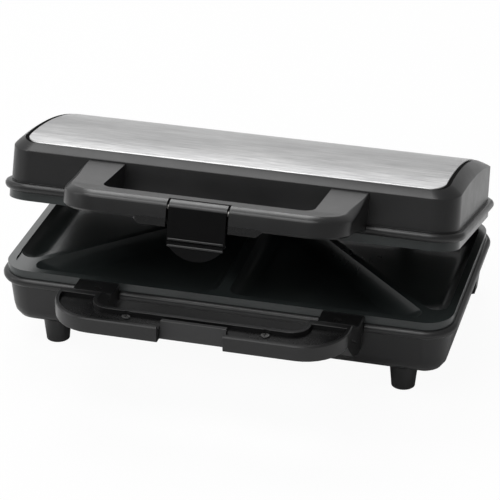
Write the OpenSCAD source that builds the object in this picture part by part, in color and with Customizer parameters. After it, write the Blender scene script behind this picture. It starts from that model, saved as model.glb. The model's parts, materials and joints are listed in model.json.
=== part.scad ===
// Countertop sandwich toaster: two hinged non-stick plates, each with two deep wells that are
// split by a diagonal ridge. Millimetres, +Z up, feet on z = 0, origin under the middle of the
// whole length. The lid is drawn partly open, at lid_angle.

/* [Rim] */
// Width over the rim bead
rim_w = 300; // [270:1:330]
// Depth over the rim bead, front to back
rim_d = 155.6; // [145:0.2:180]
// Corner radius of the rim bead
rim_r = 20.9; // [19:0.1:25]
// Radius of the half-round rim bead of each housing
bead_r = 3; // [2.4:0.1:3.4]
// Height of the line where the two cooking plates meet
parting_z = 58.2; // [56:0.1:64]
// Height of the plate skirt that shows between each bead and the parting line
skirt_h = 5.6; // [4.5:0.1:7]
// Wall thickness of both housings
wall_t = 2.5; // [2:0.1:3]

/* [Base] */
// Height of the tub's underside
underside_z = 16.6; // [15:0.1:18]
// Inset of the base wall right under the bead
base_inset_top = 4.2; // [3.8:0.1:4.6]
// Inset of the base wall just above its rounded bottom edge
base_inset_low = 6; // [5:0.1:7]
// Rounded bottom edge, measured inwards
base_round_in = 13; // [10:0.5:14]
// Rounded bottom edge, measured upwards
base_round_up = 12; // [9:0.5:13]
// Radius of a front foot where it leaves the tub
foot_r_top = 9.3; // [8:0.1:11]
// Radius of a front foot at its lower end
foot_r_low = 7.6; // [6.5:0.1:8.5]
// Distance of a front foot from the middle of the toaster
foot_x = 115.8; // [108:0.1:118]
// Distance of a front foot's axis from the front of the rim
foot_in = 22.3; // [20:0.1:26]
// Distance of a rear leg from the middle
leg_x = 131; // [124:0.5:133]
// Distance of a rear leg's axis behind the rim
leg_back = 8.4; // [6:0.1:10]
// Height of a rear leg
leg_h = 32; // [28:0.5:34]
// Radius of a rear leg at its upper end
leg_r_top = 10.2; // [9.5:0.1:11]

/* [Lid] */
// Angle at which the lid is drawn open
lid_angle = 15.84; // [12:0.01:20]
// Inset of the lid wall under the roof
lid_inset = 4.7; // [4.3:0.1:5]
// Height of the lid wall's top edge at the front and back
lid_wall_z = 89.9; // [88:0.1:92]
// Rise of the side walls' top edge towards the middle
lid_wall_bulge = 6; // [4:0.1:7]
// Highest point of the roof
roof_top_z = 102.5; // [101:0.1:105]
// Radius of the roof's main arch
roof_r = 300; // [280:1:340]
// Radius of the roof's tighter front arch
roof_front_r = 112; // [105:1:125]
// Distance of the arch's crown in front of the rim's middle
roof_crown_y = 9.8; // [6:0.1:12]
// Distance from the crown to where the front arch starts
roof_front_at = 38.2; // [35:0.1:42]
// Inset of the roof edge at the sides
roof_edge_x = 12; // [12:0.1:14]
// Inset of the roof edge at the front and back
roof_edge_y = 8.6; // [8:0.1:9.4]
// Thickness of the brushed steel cover sheet
steel_t = 1.1; // [0.8:0.1:1.4]
// Gap round the edge of the steel cover
steel_gap = 0.7; // [0.4:0.1:1]
// Gap at the left and right ends of the steel cover
end_gap = 1.7; // [1:0.1:2]

/* [Cooking plates] */
// Distance from the bead's outer edge to the plate's skirt
skirt_inset = 3.2; // [3.1:0.1:3.6]
// Distance from the bead's outer edge to the edge of a well
well_inset = 8; // [8:0.1:10]
// Half the width of the bar between the two wells
divider = 3.5; // [3:0.1:6]
// Depth of a well
well_depth = 12; // [9:0.1:12.5]
// Thickness of the cast plate
plate_t = 2.8; // [2.4:0.1:3.2]
// Drop of the diagonal ridges below the parting line
ridge_drop = 1.2; // [0.8:0.1:2]
// Width of a diagonal ridge at its crest
ridge_w = 4; // [3:0.1:6]
// Corner radius of a triangular well
well_r = 8; // [6:0.5:9]
// Gap between the two plates when the lid is shut
shut_gap = 0.3; // [0.2:0.05:0.6]

/* [Lower handle] */
// Reach of the lower handle in front of the rim
low_reach = 66; // [60:0.5:70]
// Half the width of the lower handle
low_half_w = 93.4; // [92:0.1:96]
// Corner radius of the lower handle
low_r = 28; // [26:0.5:30]
// Height of the lower handle's top rim
low_top_z = 69.6; // [69:0.1:70]
// Height of the lower handle where it meets the rim
low_root_z = 57.5; // [56:0.1:57.7]
// Thickness of the lower handle
low_t = 10.8; // [10:0.1:11.2]
// Depth of the recess in the lower handle's top
low_recess = 3; // [2.6:0.1:3.5]
// Width of the raised rim round the recess
low_rim_w = 2.6; // [2:0.1:2.7]
// Depth of the lower handle's bar, front to back
low_bar_d = 18.1; // [17:0.1:20]
// Distance in front of the rim where the raised bar of the lower handle ends
low_bar_end = 33.7; // [31:0.1:36]
// Thickness of the tray in the lower handle's bar
insert_t = 1.4; // [1:0.1:1.8]
// Half the width of the notch that takes the latch
notch_half_w = 20.8; // [20.2:0.1:22]

/* [Upper handle] */
// Reach of the upper handle in front of the rim
up_reach = 63; // [57:0.5:63]
// Half the width of the upper handle
up_half_w = 90.5; // [89:0.1:92]
// Corner radius of the upper handle
up_r = 24; // [20:0.5:28]
// Height of the upper handle's bar
up_top_z = 83.6; // [83:0.1:85]
// Height of the upper handle's underside at the bar
up_bottom_z = 70.2; // [70:0.1:71]
// Height of the upper handle's underside at the lid wall
up_root_low_z = 65.2; // [65:0.1:66]
// Depth of the upper handle's bar, front to back
up_bar_d = 17; // [16:0.1:19]
// Half the width of the grip openings
grip_half_w = 66.5; // [62:0.1:68]
// Half the width of the deeper middle under the upper handle
liner_half_w = 40.3; // [38:0.1:40.5]
// Drop of the deeper middle under the upper handle
liner_drop = 3.2; // [2.8:0.1:3.2]

/* [Latch] */
// Half the width of the latch
latch_half_w = 18.4; // [17:0.1:18.6]
// Height of the latch's lower end with the lid shut
latch_low_z = 47.4; // [45:0.1:50]
// Thickness of the latch plate
latch_t = 2.5; // [2.2:0.1:2.6]
// Reach of the latch's hook under the lower handle
hook_reach = 3.4; // [2:0.1:4]
// Radius of the latch pin
latch_pin_r = 1.5; // [1.2:0.1:1.6]

/* [Hinge] */
// Distance of the hinge axis behind the rim
hinge_back = 15.9; // [15:0.1:17]
// Height of the hinge axis
hinge_z = 50.3; // [48:0.1:52]
// Distance of each hinge from the middle
hinge_x = 88; // [70:0.5:100]
// Radius of a hinge knuckle
knuckle_r = 8; // [7:0.1:8.4]
// Radius of a hinge pin
hinge_pin_r = 3; // [2.5:0.1:3.5]
// Width of the lid's hinge lug
lug_w = 10; // [8:0.5:12]
// Width of a base hinge ear
ear_w = 5; // [4:0.5:6]

/* [Inside] */
// Radius of a heating element's tube
element_r = 3.25; // [2.8:0.05:3.5]
// Half the width of the heating element's loop
element_half_w = 104; // [95:1:110]
// Half the depth of the heating element's loop
element_half_d = 34; // [31:1:35]
// Bend radius of a heating element
element_bend = 12; // [9:0.5:14]
// Inset of the reflector trays
tray_inset = 17; // [16:0.5:20]
// Sheet thickness of the reflector trays
tray_t = 0.8; // [0.6:0.1:1.2]
// Depth of a reflector tray
tray_h = 10.5; // [9:0.5:10.5]
// Distance of the plate screws from the middle, sideways
boss_x = 62; // [58:1:66]
// Distance of the plate screws from the middle, front to back
boss_y = 45; // [43:1:47]
// Radius of a plate screw's shank
screw_r = 1.9; // [1.6:0.1:2.1]
// Radius of the cord inlet's bore
inlet_r = 3.3; // [2.8:0.1:4]
// Distance of the cord inlet from the middle
inlet_x = 40; // [20:1:60]

/* [Hidden] */

$fn = 48;
eps = 0.01;
run_gap = 0.05;   // radial clearance of every running fit
seat_gap = 0.3;   // gap between neighbours that are only seated
corner_n = 9;     // segments in a quarter of a moulded corner
side_n = 14;      // segments along the side of the arched lid

half_w = rim_w / 2;
half_d = rim_d / 2;
low_bead_z = parting_z - skirt_h - bead_r;
up_bead_z = parting_z + skirt_h + bead_r;
low_lip_z = low_bead_z + bead_r;
up_lip_z = up_bead_z - bead_r;
hinge_y = half_d + hinge_back;
rear_reach = hinge_back + knuckle_r;
rim_y = (low_reach - rear_reach) / 2;
leg_y = half_d + leg_back;

low_front = -half_d - low_reach;
up_front = -half_d - up_reach;
wall_front = -half_d + base_inset_top;

// Posts under a cooking plate carry the reflector tray; levels count from the plate's face
post_r = screw_r + 2.6;
post_len = 2 * element_r + 5.4;
tray_floor = -well_depth - plate_t - post_len;
tray_under = parting_z - shut_gap / 2 + tray_floor;

// ---------------------------------------------------------------- frames

module in_base() { translate([0, rim_y, 0]) children(); }

module in_lid() {
    in_base() translate([0, hinge_y, hinge_z]) rotate([-lid_angle, 0, 0])
        translate([0, -hinge_y, -hinge_z]) children();
}

module both_sides() { children(); mirror([1, 0, 0]) children(); }

// Extrudes a (y, z) profile along X, centred on the middle plane
module along_x(width) { rotate([90, 0, 90]) linear_extrude(width, center = true) children(); }

// ---------------------------------------------------------------- outlines and lofts

function arc(c, r, a0, a1, n) = [for (i = [0:n]) let (a = a0 + (a1 - a0) * i / n)
    [c.x + r * cos(a), c.y + r * sin(a)]];

function steps(a, b, n) = [for (i = [1:1:n - 1]) a + (b - a) * i / n];

// Rounded rectangle inside the rim: ix and iy are its insets, n its side segments
function outline(ix, iy, n = 1) = let (hx = half_w - ix, hy = half_d - iy,
    r = max(rim_r - (ix + iy) / 2, 2), cx = hx - r, cy = hy - r) concat(
    arc([cx, -cy], r, -90, 0, corner_n), [for (y = steps(-cy, cy, n)) [hx, y]],
    arc([cx, cy], r, 0, 90, corner_n), arc([-cx, cy], r, 90, 180, corner_n),
    [for (y = steps(cy, -cy, n)) [-hx, y]], arc([-cx, -cy], r, 180, 270, corner_n));

function flat_ring(inset, z) = [for (p = outline(inset, inset)) [p.x, p.y, z]];

// Skin over a stack of rings that mirror about the middle plane. Each end is closed by rungs
// that run straight across, so a roof that curves from front to back stays exact in width.
module loft(rings, flip = false) {
    n = len(rings[0]);
    last = (len(rings) - 1) * n;
    sides = [for (k = [0:len(rings) - 2], i = [0:n - 1]) let (a = k * n + i, b = k * n + (i + 1) % n)
        each [[a, a + n, b + n], [a, b + n, b]]];
    rungs = [for (i = [0:n / 2 - 2]) each [
        [n - 1 - i, i, i + 1, n - 2 - i],
        [last + i, last + n - 1 - i, last + n - 2 - i, last + i + 1]]];
    faces = concat(sides, rungs);
    polyhedron(points = [for (r = rings) each r],
        faces = flip ? [for (f = faces) [for (i = [len(f) - 1:-1:0]) f[i]]] : faces, convexity = 8);
}

// Skin over a stack of flat rings of any one outline
module stack(rings) {
    n = len(rings[0]);
    last = (len(rings) - 1) * n;
    polyhedron(points = [for (r = rings) each r], faces = concat(
        [[for (i = [0:n - 1]) i], [for (i = [n - 1:-1:0]) last + i]],
        [for (k = [0:len(rings) - 2], i = [0:n - 1]) let (a = k * n + i, b = k * n + (i + 1) % n)
            [a, a + n, b + n, b]]), convexity = 4);
}

// Flat rounded rectangle of the rim's shape, at an inset
module rim_plate(inset) { rounded(rim_w - 2 * inset, rim_d - 2 * inset, rim_r - inset); }

module rounded(w, d, r) {
    square([w - 2 * r, d], center = true);
    square([w, d - 2 * r], center = true);
    for (x = [-1, 1], y = [-1, 1]) translate([x * (w / 2 - r), y * (d / 2 - r)]) circle(r);
}

module slab(z0, z1) { translate([0, 0, z0]) linear_extrude(z1 - z0) children(); }

// ---------------------------------------------------------------- base

function bead(z, sign, from, to) = [for (a = [from:30:to])
    [bead_r * (1 - cos(a)), z + sign * bead_r * sin(a)]];

tub_outer = concat(
    [for (t = [0:22.5:90]) [base_inset_low + base_round_in * (1 - sin(t)),
        underside_z + base_round_up * (1 - cos(t))]],
    [[base_inset_top, low_bead_z - bead_r * 0.97]],
    bead(low_bead_z, 1, -75, 75), [[bead_r + 0.2, low_lip_z]]);
tub_inner = [
    [base_inset_top + wall_t, low_lip_z],
    [base_inset_low + wall_t, underside_z + base_round_up + wall_t],
    [base_inset_low + wall_t + base_round_in * 0.3, underside_z + wall_t + base_round_up * 0.3],
    [base_inset_low + wall_t + base_round_in * 0.75, underside_z + wall_t]];

boss_r = screw_r + 4.3;
head_r = screw_r + 1.9;
head_h = 2.4;
low_head_z = underside_z + 6;

module boss_places() { for (x = [-1, 1], y = [-1, 1]) translate([x * boss_x, y * boss_y, 0]) children(); }

// Gusset on the front wall that carries one arm of the lower handle
gusset_in = 70;
gusset_out = 91.4;
module arm_gusset() {
    tip = low_ramp_0 - 2;
    translate([(gusset_in + gusset_out) / 2, 0, 0]) along_x(gusset_out - gusset_in) polygon(concat(
        [[wall_front + 3, low_root_z - 24.5], [-half_d - 4, low_root_z - 23.5],
            [-half_d - 10, low_root_z - 21], [-half_d - 19, low_root_z - 17],
            [-half_d - 30, low_root_z - 7.5], [tip, low_bottom(tip) - 3]],
        [for (y = [tip, for (k = low_stations) k, wall_front + 3]) [y, low_bottom(y) - seat_gap]]));
}

// Rear leg: a tapered foot on a web that grows out of the tub's back
module rear_leg() {
    function ring(r, z) = concat(
        [for (p = arc([leg_x, leg_y], r, 0, 180, 12)) [p.x, p.y, z]],
        [[leg_x - r, half_d - 14, z], [leg_x + r, half_d - 14, z]]);
    intersection() {
        union() {
            stack([ring(foot_r_low, 1.2), ring(foot_r_low + 1.7, underside_z + 1), ring(leg_r_top, leg_h - 2),
                ring(leg_r_top - 1.5, leg_h)]);
        }
        union() {
            slab(underside_z + 4, leg_h + 1) translate([0, half_d - 9]) square([rim_w, 80]);
            translate([leg_x, leg_y, 0]) cylinder(r = leg_r_top + 3, h = leg_h + 1);
        }
    }
}

module hinge_ear(x) {
    translate([x, 0, 0]) along_x(ear_w) {
        translate([hinge_y, hinge_z]) circle(knuckle_r);
        polygon([[half_d - base_inset_low, underside_z + 12], [hinge_y + 1, hinge_z - knuckle_r * 0.99],
            [hinge_y - 3, hinge_z + knuckle_r * 0.9], [hinge_y - knuckle_r, hinge_z - 2],
            [half_d - base_inset_top - 1, low_bead_z - 6]]);
    }
}
ear_x = lug_w / 2 + 0.5 + ear_w / 2;

cover_w = 96;
cover_d = 44;
cover_y = 12;
cover_screw_x = cover_w / 2 - 6;

module service_outline(grow = 0) {
    translate([0, cover_y]) rounded(cover_w + 2 * grow, cover_d + 2 * grow, 6);
}

inlet_z = 35;
gland_r = inlet_r + 3;

module base_housing() {
    color([0.17, 0.17, 0.18]) in_base() difference() {
        union() {
            loft([for (p = concat([for (i = [3:-1:0]) tub_inner[i]],
                [for (i = [len(tub_outer) - 1:-1:0]) tub_outer[i]])) flat_ring(p[0], p[1])], flip = true);
            boss_places() translate([0, 0, underside_z + 1])
                cylinder(r = boss_r, h = tray_under - underside_z - 1);
            both_sides() {
                arm_gusset();
                rear_leg();
                for (s = [-1, 1]) hinge_ear(hinge_x + s * ear_x);
                translate([foot_x, foot_in - half_d, 1.2])
                    cylinder(r1 = foot_r_low, r2 = foot_r_top, h = underside_z);
            }
        }
        // plate screws come up from below
        boss_places() {
            translate([0, 0, underside_z - 1]) cylinder(r = screw_r + 0.3, h = 40);
            translate([0, 0, underside_z - 1]) cylinder(r = head_r + 0.5, h = low_head_z - underside_z + 1);
        }
        both_sides() translate([arm_screw_x, arm_screw_y, low_root_z - low_t - 7]) cylinder(r = 1.6, h = 20);
        // the rim stops where the handle's arms pass over it
        both_sides() translate([grip_half_w - 1, -half_d - 6, low_root_z - low_t])
            cube([low_half_w - grip_half_w + 1.5, 6 + base_inset_top + seat_gap, low_t + 5]);
        both_sides() translate([hinge_x, hinge_y, hinge_z]) rotate([0, 90, 0])
            cylinder(r = hinge_pin_r + run_gap, h = 60, center = true);
        foot_pad_places() translate([0, 0, -1]) cylinder(r = pad_r + run_gap, h = 1 + pad_h);
        slab(underside_z - 1, underside_z + wall_t + 1) service_outline(-4);
        slab(underside_z - 1, underside_z + 1.2) service_outline(0.2);
        for (s = [-1, 1]) translate([s * cover_screw_x, cover_y, 0])
            cylinder(r = screw_r + 0.05 - 0.4, h = 30);
        translate([inlet_x, half_d - 14, inlet_z]) rotate([-90, 0, 0])
            cylinder(r = gland_r + run_gap, h = 12);
        // cooling slots in the floor
        for (i = [-3:3], s = [-1, 1]) translate([s * 92 + i * 6 - 1.2, -26, underside_z - 1])
            cube([2.4, 34, wall_t + 3]);
    }
}

module service_cover() {
    color([0.15, 0.15, 0.16]) in_base() difference() {
        slab(underside_z - 0.4, underside_z + 1.15) service_outline(0);
        for (s = [-1, 1]) translate([s * cover_screw_x, cover_y, 0]) cylinder(r = screw_r, h = 30);
        for (i = [-4:4]) translate([i * 6 - 1.2, cover_y - 12, 0]) cube([2.4, 24, 30]);
    }
}

module service_cover_screws() {
    color("silver") in_base() for (s = [-1, 1]) translate([s * cover_screw_x, cover_y, 0]) {
        translate([0, 0, underside_z - 1.8]) cylinder(r = screw_r + 1.2, h = 1.4);
        translate([0, 0, underside_z - 0.5]) cylinder(r = screw_r - 0.4, h = wall_t + 0.3);
    }
}

pad_r = 5.6;
pad_h = 2;

module foot_pad_places() {
    both_sides() translate([foot_x, foot_in - half_d, 0]) children();
    both_sides() translate([leg_x, leg_y, 0]) children();
}

module foot_pads() {
    color([0.08, 0.08, 0.08]) in_base() foot_pad_places() cylinder(r = pad_r, h = pad_h);
}

// ---------------------------------------------------------------- cooking plates

// Triangle pulled in by d, its corners rounded to the radii in r, at height z; v runs anticlockwise
function unit(v) = v / norm(v);
function turn(e) = atan2(-e.x, e.y);
function tri_ring(v, d, r, z, n = 5) = let (
    a = norm(v[1] - v[2]), b = norm(v[2] - v[0]), c = norm(v[0] - v[1]),
    mid = (a * v[0] + b * v[1] + c * v[2]) / (a + b + c),
    area = abs(cross(v[1] - v[0], v[2] - v[0])) / 2,
    inradius = 2 * area / (a + b + c))
    [for (i = [0:2]) let (s = mid + (v[i] - mid) * (1 - (d + r[i]) / inradius),
        a0 = turn(v[i] - v[(i + 2) % 3]), a1 = turn(v[(i + 1) % 3] - v[i]),
        sweep = (a1 - a0 + 720) % 360) for (j = [0:n]) let (t = a0 + sweep * j / n)
            [s.x + r[i] * cos(t), s.y + r[i] * sin(t), z]];

// The two triangles of the right-hand well, grown by half a ridge
well_x0 = divider - ridge_w / 2;
well_x1 = half_w - well_inset + ridge_w / 2;
well_y1 = half_d - well_inset + ridge_w / 2;
well_triangles = [
    [[well_x0, -well_y1], [well_x1, -well_y1], [well_x0, well_y1]],
    [[well_x1, -well_y1], [well_x1, well_y1], [well_x0, well_y1]]];
corner_r = rim_r - well_inset;
well_radii = [[well_r, well_r, well_r], [well_r, corner_r, well_r]];

// Dish of one triangle, from the land down; each row gives a share of the depth and a pull-in
dish = [[1, 11], [0.75, 5], [0.33, 1.8], [0, 0]];
shell = [[1, 9], [0.68, 2.2], [0.2, -1]];

module well_dishes() {
    for (i = [0, 1]) stack(concat(
        [for (s = dish) tri_ring(well_triangles[i], ridge_w / 2 + s[1], well_radii[i], -s[0] * well_depth)],
        [tri_ring(well_triangles[i], ridge_w / 2, well_radii[i], 1)]));
}

module well_shells() {
    for (i = [0, 1]) stack([for (s = shell)
        tri_ring(well_triangles[i], ridge_w / 2 + s[1], well_radii[i], -s[0] * (well_depth + plate_t))]);
}

// A plate with its face up at z = 0
module cooking_plate() {
    difference() {
        union() {
            slab(-skirt_h + shut_gap / 2 + eps, 0) rim_plate(skirt_inset);
            both_sides() well_shells();
            boss_places() translate([0, 0, -well_depth - plate_t - post_len + tray_t])
                cylinder(r = post_r, h = post_len - tray_t + 1);
        }
        both_sides() {
            well_dishes();
            slab(shut_gap / 2 - ridge_drop, 1) translate([divider + (half_w - well_inset - divider) / 2, 0])
                rounded(half_w - well_inset - divider - 1, rim_d - 2 * well_inset - 1, corner_r);
        }
        boss_places() translate([0, 0, -well_depth - plate_t - post_len])
            cylinder(r = screw_r + run_gap, h = post_len + 0.4);
    }
}

module lower_plate() {
    color([0.2, 0.21, 0.21]) in_base() translate([0, 0, parting_z - shut_gap / 2]) cooking_plate();
}

module upper_plate() {
    color([0.2, 0.21, 0.21]) in_lid() translate([0, 0, parting_z + shut_gap / 2])
        mirror([0, 0, 1]) cooking_plate();
}

// ---------------------------------------------------------------- heating

// Round tube along points in the XY plane, with square bends
module tube(p, r, bend) {
    n = len(p);
    for (i = [0:n - 2]) let (u = unit(p[i + 1] - p[i]),
        a = i == 0 ? p[0] : p[i] + bend * u, b = i == n - 2 ? p[n - 1] : p[i + 1] - bend * u)
        translate([a.x, a.y, 0]) rotate([0, 90, atan2(u.y, u.x)]) cylinder(r = r, h = norm(b - a));
    for (i = [1:1:n - 2]) let (u = unit(p[i] - p[i - 1]), w = unit(p[i + 1] - p[i]),
        c = p[i] - bend * u + bend * w, left = cross(u, w) > 0,
        a = left ? atan2(-w.y, -w.x) : atan2(u.y, u.x))
        translate([c.x, c.y, 0]) rotate([0, 0, a]) rotate_extrude(angle = 90)
            translate([bend, 0]) circle(r);
}

terminal_x = 16;
terminal_y = half_d - tray_inset - 3;
element_path = [[terminal_x, terminal_y], [terminal_x, element_half_d],
    [element_half_w, element_half_d], [element_half_w, -element_half_d],
    [-element_half_w, -element_half_d], [-element_half_w, element_half_d],
    [-terminal_x, element_half_d], [-terminal_x, terminal_y]];

// Element lying against a plate's underside, the plate's face up at z = 0
module element() {
    translate([0, 0, -well_depth - plate_t - 0.15 - element_r]) {
        tube(element_path, element_r, element_bend);
        for (s = [-1, 1]) translate([s * terminal_x, terminal_y - 6, 0]) rotate([-90, 0, 0])
            cylinder(r = element_r * 0.45, h = 7.4);
    }
}

// Sheet tray under the element, the plate's face up at z = 0
module tray() {
    difference() {
        slab(tray_floor, tray_floor + tray_h) rim_plate(tray_inset);
        slab(tray_floor + tray_t, tray_floor + tray_h + 1) rim_plate(tray_inset + tray_t);
        boss_places() translate([0, 0, tray_floor - 1]) cylinder(r = screw_r + 0.3, h = 3);
    }
}

module lower_element() {
    color([0.45, 0.44, 0.42]) in_base() translate([0, 0, parting_z - shut_gap / 2]) element();
}

module upper_element() {
    color([0.45, 0.44, 0.42]) in_lid() translate([0, 0, parting_z + shut_gap / 2])
        mirror([0, 0, 1]) element();
}

module lower_reflector() {
    color([0.75, 0.76, 0.78]) in_base() translate([0, 0, parting_z - shut_gap / 2]) tray();
}

module upper_reflector() {
    color([0.75, 0.76, 0.78]) in_lid() translate([0, 0, parting_z + shut_gap / 2])
        mirror([0, 0, 1]) tray();
}

module lower_plate_screws() {
    color("silver") in_base() boss_places() {
        translate([0, 0, low_head_z - head_h]) cylinder(r = head_r, h = head_h);
        translate([0, 0, low_head_z - eps]) cylinder(r = screw_r, h = tray_under + tray_t + 9 - low_head_z);
    }
}

stat_r = 8.5;
stat_h = 8;
stat_y = 18;

module thermostat() {
    color([0.7, 0.68, 0.62]) in_base() translate([0, stat_y, tray_under - stat_h]) {
        cylinder(r = stat_r, h = stat_h);
        for (s = [-1, 1]) translate([s * stat_r - (s > 0 ? 1 : 5), -2, 2]) cube([6, 4, 0.8]);
    }
}

fuse_r = 2.2;
fuse_len = 26;
fuse_wire_len = 44;
fuse_wire_r = 0.6;
fuse_y = -12;

module thermal_fuse() {
    color([0.85, 0.83, 0.78]) in_base() translate([0, fuse_y, tray_under + tray_t + fuse_r + 0.1])
        rotate([0, 90, 0]) {
            cylinder(r = fuse_r, h = fuse_len, center = true);
            cylinder(r = fuse_wire_r, h = fuse_wire_len, center = true);
        }
}

block_h = 9;
block_w = 34;
block_d = 13;
block_y = 50;
block_pitch = 10;

module terminal_block() {
    color([0.9, 0.9, 0.86]) in_base() difference() {
        translate([-block_w / 2, block_y - block_d / 2, underside_z + wall_t])
            cube([block_w, block_d, block_h]);
        for (i = [-1, 0, 1]) translate([i * block_pitch, block_y, underside_z + wall_t + 3])
            cylinder(r = 2, h = block_h);
    }
}

lead_r = 1.1;
lead_z = underside_z + wall_t + 1.6;
lead_bend = 4;
lead_turn_y = 33;
lead_out_x = 24;
lead_end_y = -14;

module internal_leads() {
    color([0.85, 0.85, 0.8]) in_base() translate([0, 0, lead_z]) {
        for (s = [-1, 1]) tube([[s * block_pitch, block_y - block_d / 2 - 0.2],
            [s * block_pitch, lead_turn_y], [s * lead_out_x, lead_turn_y],
            [s * lead_out_x, lead_end_y]], lead_r, lead_bend);
    }
}

module cord_gland() {
    y = half_d - base_inset_low;
    color([0.1, 0.1, 0.1]) in_base() translate([inlet_x, y, inlet_z]) rotate([-90, 0, 0]) difference() {
        union() {
            translate([0, 0, -wall_t - 3]) cylinder(r = gland_r, h = wall_t + 6);
            translate([0, 0, base_inset_low - base_inset_top + 0.1]) cylinder(r = gland_r + 2.2, h = 2);
            translate([0, 0, base_inset_low - base_inset_top + 2])
                cylinder(r1 = gland_r, r2 = inlet_r + 1.2, h = 9);
            translate([0, 0, -wall_t - 4.6]) cylinder(r = gland_r + 1.4, h = 1.8);
        }
        translate([0, 0, -20]) cylinder(r = inlet_r, h = 40);
    }
}

// ---------------------------------------------------------------- handles

// Outline of a handle from its front to the wall: front corners rounded, side points at the
// given stations, and the inset fading along the arms to a share of itself at the wall
function loop_outline(w, front, back, r, inset, stations, share = 1) = let (
    y0 = front + inset, rr = r - inset, cx = w - r,
    ys = [for (y = stations) if (y > y0 + rr + 0.1 && y < back - 0.1) y],
    hx = function(y) w - inset * (1 - (1 - share) * smooth((y - y0 - rr) / (back - y0 - rr)))) concat(
    arc([cx, y0 + rr], rr, -90, 0, corner_n), [for (y = ys) [hx(y), y]],
    [[hx(back), back], [-hx(back), back]], [for (i = [len(ys) - 1:-1:0]) [-hx(ys[i]), ys[i]]],
    arc([-cx, y0 + rr], rr, 180, 270, corner_n));

function smooth(t) = let (c = min(max(t, 0), 1)) c * c * (3 - 2 * c);
function ramp(y, y0, y1, z0, z1) = z0 + (z1 - z0) * smooth((y - y0) / (y1 - y0));

low_ramp_0 = -half_d - low_bar_end;
low_ramp_1 = -half_d - 10;
low_back = -half_d + skirt_inset - seat_gap;
low_stations = [for (i = [0:6]) low_ramp_0 + (low_ramp_1 - low_ramp_0) * i / 6];
function low_top(y) = ramp(y, low_ramp_0, low_ramp_1, low_top_z, low_root_z);
function low_bottom(y) = low_top(y) - low_t;

function low_ring(inset, drop, top) = [for (p = loop_outline(low_half_w, low_front, low_back,
    low_r, inset, low_stations)) [p.x, p.y, top ? low_top(p.y) - drop : low_bottom(p.y) + drop]];

low_bar_back = low_front + low_bar_d;
low_hole_r = 9;

// Grip opening between a bar and the wall behind it
module grip_hole(half, front, r) {
    back = -half_d + 20;
    translate([-half + r, front]) square([2 * (half - r), back - front]);
    translate([-half, front + r]) square([2 * half, back - front - r]);
    for (s = [-1, 1]) translate([s * (half - r), front + r]) circle(r);
}

low_screw_x = 44.1;
low_screw_y = low_front + 12.9;
arm_screw_x = 78.2;
arm_screw_y = -half_d - 6.4;
low_floor_z = low_top_z - low_recess;
handle_head_r = 2.5;
screw_boss_r = handle_head_r + 0.6;
cross_head_h = 1.6;
screw_proud = cross_head_h / 2;
notch_top_y = low_front + 9.5;
notch_low_y = low_front + 6;

// Tray-shaped recess in the bar, closed at both ends by the rim
module low_recess_outline(pull) {
    w = low_half_w - low_rim_w - pull;
    r = low_r - low_rim_w - pull;
    y0 = low_front + low_rim_w + pull;
    y1 = low_ramp_0 - low_rim_w - pull;
    difference() {
        union() {
            translate([-w + r, y0]) square([2 * (w - r), y1 - y0]);
            for (s = [-1, 1]) intersection() {
                translate([s * (w - r), y0 + r]) circle(r);
                translate([-half_w, y0]) square([rim_w, y1 - y0]);
            }
        }
        difference() {
            grip_hole(grip_half_w + low_rim_w + pull, low_bar_back - low_rim_w - pull,
                low_hole_r + low_rim_w + pull);
            for (s = [-1, 1]) translate([s * low_screw_x, low_screw_y]) circle(screw_boss_r + 0.1 - pull);
        }
        translate([-notch_half_w - pull, low_front - 1])
            square([2 * (notch_half_w + pull), notch_top_y + low_rim_w + pull - low_front + 1]);
    }
}

module lower_handle() {
    e = 1.6;
    rings = [low_ring(e, 0, false), low_ring(e * 0.3, e * 0.3, false), low_ring(0, e, false),
        low_ring(0, 0.8, true), low_ring(0.6, 0, true)];
    color([0.15, 0.15, 0.16]) in_base() difference() {
        loft(rings);
        slab(0, 200) grip_hole(grip_half_w, low_bar_back, low_hole_r);
        slab(low_floor_z - insert_t, 200) low_recess_outline(0);
        // ramp that the latch rides over
        along_x(2 * notch_half_w) polygon([[low_front - 5, 0], [notch_low_y, 0],
            [notch_low_y, low_top_z - low_t], [notch_top_y, low_top_z + 1], [low_front - 5, low_top_z + 1]]);
        for (s = [-1, 1]) {
            translate([s * low_screw_x, low_screw_y, low_top_z - low_t + 1.4]) cylinder(r = 1.25, h = 20);
            translate([s * arm_screw_x, arm_screw_y, low_root_z - 1.4])
                cylinder(r = handle_head_r + 0.2, h = 9);
            translate([s * arm_screw_x, arm_screw_y, 0]) cylinder(r = 1.6, h = 200);
        }
    }
}

module lower_handle_insert() {
    color([0.13, 0.13, 0.14]) in_base() difference() {
        union() {
            slab(low_floor_z - insert_t, low_floor_z) low_recess_outline(0.1);
            for (s = [-1, 1]) translate([s * low_screw_x, low_screw_y, low_floor_z - insert_t])
                cylinder(r = screw_boss_r, h = insert_t + screw_proud);
        }
        for (s = [-1, 1]) translate([s * low_screw_x, low_screw_y, 0]) {
            cylinder(r = 1.25, h = 100);
            translate([0, 0, low_floor_z + screw_proud - cross_head_h])
                cylinder(r = handle_head_r + run_gap, h = 10);
        }
    }
}

module cross_head(z, length, shank) {
    difference() {
        translate([0, 0, z - cross_head_h]) cylinder(r = handle_head_r, h = cross_head_h);
        for (a = [0, 90]) rotate(a) translate([-1.6, -0.3, z - 0.8]) cube([3.2, 0.6, 2]);
    }
    translate([0, 0, z - cross_head_h - length]) cylinder(r = shank, h = length + eps);
}

module lower_handle_screws() {
    color("silver") in_base() for (s = [-1, 1]) {
        translate([s * low_screw_x, low_screw_y, 0]) cross_head(low_floor_z + screw_proud, 5.1, 1.2);
        translate([s * arm_screw_x, arm_screw_y, 0]) cross_head(low_root_z + 0.2, low_t + 4.4, 1.5);
    }
}

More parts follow.
